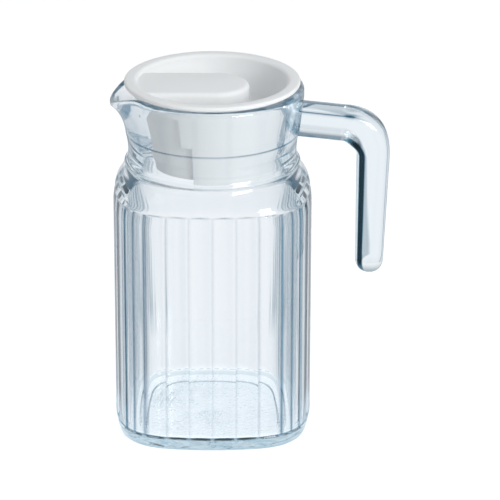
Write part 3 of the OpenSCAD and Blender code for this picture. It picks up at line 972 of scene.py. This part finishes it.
def clear_glass():
    """Pressed soda glass: faintly wavy skin, painted shade lines at the pressed edges, painted cool shade
    where seen edge on, and cool where light goes a long way through it.
    """
    look = Look("clear_pressed_glass")
    place = look.place()
    height = look.node("SeparateXYZ", output="Z", Vector=place)
    low = height.fade(*BASE_FADE_Z)
    first = look.light_path("Transmission Depth").fade(*LINE_SHADE_FADE)
    # Darkness of the painted shade lines along the ridges, the pressed edges and the handle
    edge = look.node("Attribute", {"attribute_name": "painted_edge_shade"}, output="Fac")
    waves = look.node("TexNoise", Vector=place, Scale=70.0, Detail=1.0)
    ripple = look.node("TexNoise", Vector=place, Scale=240.0, Detail=1.0, Distortion=1.2)
    bump = look.node("Bump", Strength=0.1, Distance=0.2 * MM, Height=waves + ripple * low * BASE_RIPPLE)
    rough = look.node("TexNoise", Vector=place, Scale=40.0, Detail=2.0) * SKIN_ROUGH
    tint = glass_tint(look, place, low, first, ripple, edge)
    glass = look.node("BsdfPrincipled", Base_Color=tint, Roughness=rough, Normal=bump,
                      IOR=1.5, Transmission_Weight=1.0)
    glass = deep_filled(look, glass, height, low)
    glass = pale_topped(look, glass, place, first)
    # The darkest painted shade lines are painted near black. Only the flutes' lower ends show it through more
    # glass
    blackened = (edge - 1) * height.fade(*BLACK_FADE_Z).math("MAXIMUM", first)
    glass = look.mix_shader(blackened.within(0.0, MOST_BLACK), glass, look.node("BsdfDiffuse", Color=PAINTED_BLACK))
    # Light that falls through the jug on matt things passes it nearly whole
    lighting = (look.light_path("Is Shadow Ray") + look.light_path("Diffuse Depth")).math("MINIMUM", 1.0)
    mixed = look.mix_shader(lighting, glass, look.node("BsdfTransparent", Color=SHADOW_TINT))
    return look.done(mixed, look.node("VolumeAbsorption", Color=LONG_WAY_TINT, Density=14.0))


# The lid's plastic, whose colour and roughness vary a little
PLASTIC_GREY = (0.82, 0.835, 0.84, 1)
PLASTIC_WHITE = (0.86, 0.87, 0.875, 1)
SATIN_ROUGH = 0.52
SATIN_MORE = 0.12


def white_plastic():
    """Satin moulded white plastic."""
    look = Look("white_moulded_plastic")
    place = look.place()
    grain = look.node("TexNoise", Vector=place, Scale=900.0, Detail=3.0)
    cloud = look.node("TexNoise", Vector=place, Scale=35.0, Detail=2.0)
    colour = look.colour_mix(cloud, PLASTIC_GREY, PLASTIC_WHITE)
    bump = look.node("Bump", Strength=0.15, Distance=0.05 * MM, Height=grain)
    rough = cloud * SATIN_MORE + SATIN_ROUGH
    return look.done(look.node("BsdfPrincipled", Base_Color=colour, Roughness=rough, Normal=bump,
                               IOR=1.49, Specular_IOR_Level=0.12))


# Studio: pale floor, white background, soft lamps

# The floor, and the tones painted on it that only the glass sees: pale sectors, dark gaps between them that
# paint shade into the glass, and a glow under the jug
FLOOR_SIZE = 12
FLOOR_PAINT = (0.86, 0.86, 0.86, 1)
FLOOR_DIM = (0.25, 0.25, 0.25, 1)
SECTOR_TONE = (0.97, 0.98, 1, 1)
GAP_SHADE = (0.16, 0.27, 0.35, 1)
UNDER_GLOW = (1.2, 1.25, 1.3, 1)
SECTOR_COUNT = 8.0
GAP_FADE = (-0.75, -1)
GAP_DARK = 0.7
GAPS_FADE_R = (100 * MM, 140 * MM)
UNDER_FADE_R = (52 * MM, 62 * MM)

# The room and its lamps
WHITE = (1, 1, 1, 1)
SKY_TONE = (0.18, 0.28, 0.35, 1)
ROOM_LIGHT = (0.97, 0.985, 1, 1)
SKY_FROM = 0.1
SKY_RISE = 1.7
LAMP_TARGET = (0, 0, 0.1)


def make_floor():
    """A matt floor. Only the glass sees the light and shade painted on it: pale sectors round the jug with
    dark gaps between them, and a glow under the jug.
    """
    bpy.ops.object.select_all(action="DESELECT")
    bpy.ops.mesh.primitive_plane_add(size=FLOOR_SIZE, location=(0, 0, 0))
    floor = bpy.context.object
    floor.name = "studio_floor"
    look = Look("pale_floor")
    place = look.place()
    x = look.node("SeparateXYZ", output="X", Vector=place)
    y = look.node("SeparateXYZ", output="Y", Vector=place)
    reach = look.node("VectorMath", {"operation": "LENGTH"}, output="Value", Vector=place)
    turn = y.math("ARCTAN2", x) * SECTOR_COUNT
    gap = turn.math("COSINE").fade(*GAP_FADE).math("MINIMUM", GAP_DARK)
    tone = look.colour_mix(gap * reach.fade(*GAPS_FADE_R), SECTOR_TONE, GAP_SHADE)
    tone = look.colour_mix(reach.fade(*UNDER_FADE_R), UNDER_GLOW, tone)
    paint = look.node("BsdfDiffuse", Color=FLOOR_PAINT)
    through = look.add_shader(look.node("BsdfDiffuse", Color=FLOOR_DIM),
                              look.node("Emission", Color=tone, Strength=0.8))
    seen = look.add_shader(paint, look.node("Emission", Color=WHITE, Strength=0.4))
    plain = look.mix_shader(look.light_path("Is Camera Ray"), paint, seen)
    dress(floor, look.done(look.mix_shader(look.by_glass(), plain, through)))


def make_world():
    """White behind the jug, a plain soft light on it, and a room for the glass that darkens upwards."""
    world = bpy.data.worlds.new("studio_world")
    bpy.context.scene.world = world
    world.use_nodes = True
    world.node_tree.nodes.clear()
    look = Look(tree=world.node_tree)
    height = look.node("SeparateXYZ", output="Z", Vector=look.node("TexCoord", output="Generated"))
    high = ((height - SKY_FROM) * SKY_RISE).within()
    room = look.node("Background", Color=look.colour_mix(high, WHITE, SKY_TONE))
    light = look.node("Background", Color=ROOM_LIGHT, Strength=0.55)
    white = look.node("Background", Color=WHITE, Strength=1.0)
    lit = look.mix_shader(look.by_glass(), light, room)
    output = look.tree.nodes.new("ShaderNodeOutputWorld")
    plug(look.tree, output.inputs["Surface"], look.mix_shader(look.light_path("Is Camera Ray"), lit, white))


def make_lamp(name, place, size, power):
    """A soft square lamp that faces the jug."""
    bpy.ops.object.light_add(type="AREA", location=place)
    lamp = bpy.context.object
    lamp.name = name
    lamp.data.shape = "SQUARE"
    lamp.data.size = size
    lamp.data.energy = power
    aim = Vector(LAMP_TARGET) - Vector(place)
    lamp.rotation_euler = aim.to_track_quat("-Z", "Y").to_euler()


jug_glass = make_jug_glass()
handle_glass = make_handle_glass()
lid_plastic = make_lid_plastic()
pressed_glass = clear_glass()
dress(jug_glass, pressed_glass)
dress(handle_glass, pressed_glass)
dress(lid_plastic, white_plastic())

make_floor()
make_world()
make_lamp("key_lamp", place=(0.9, -1.1, 0.75), size=0.7, power=13)
make_lamp("top_lamp", place=(-0.2, 0.2, 1.5), size=1.0, power=2)

bpy.context.scene.view_settings.view_transform = "Standard"
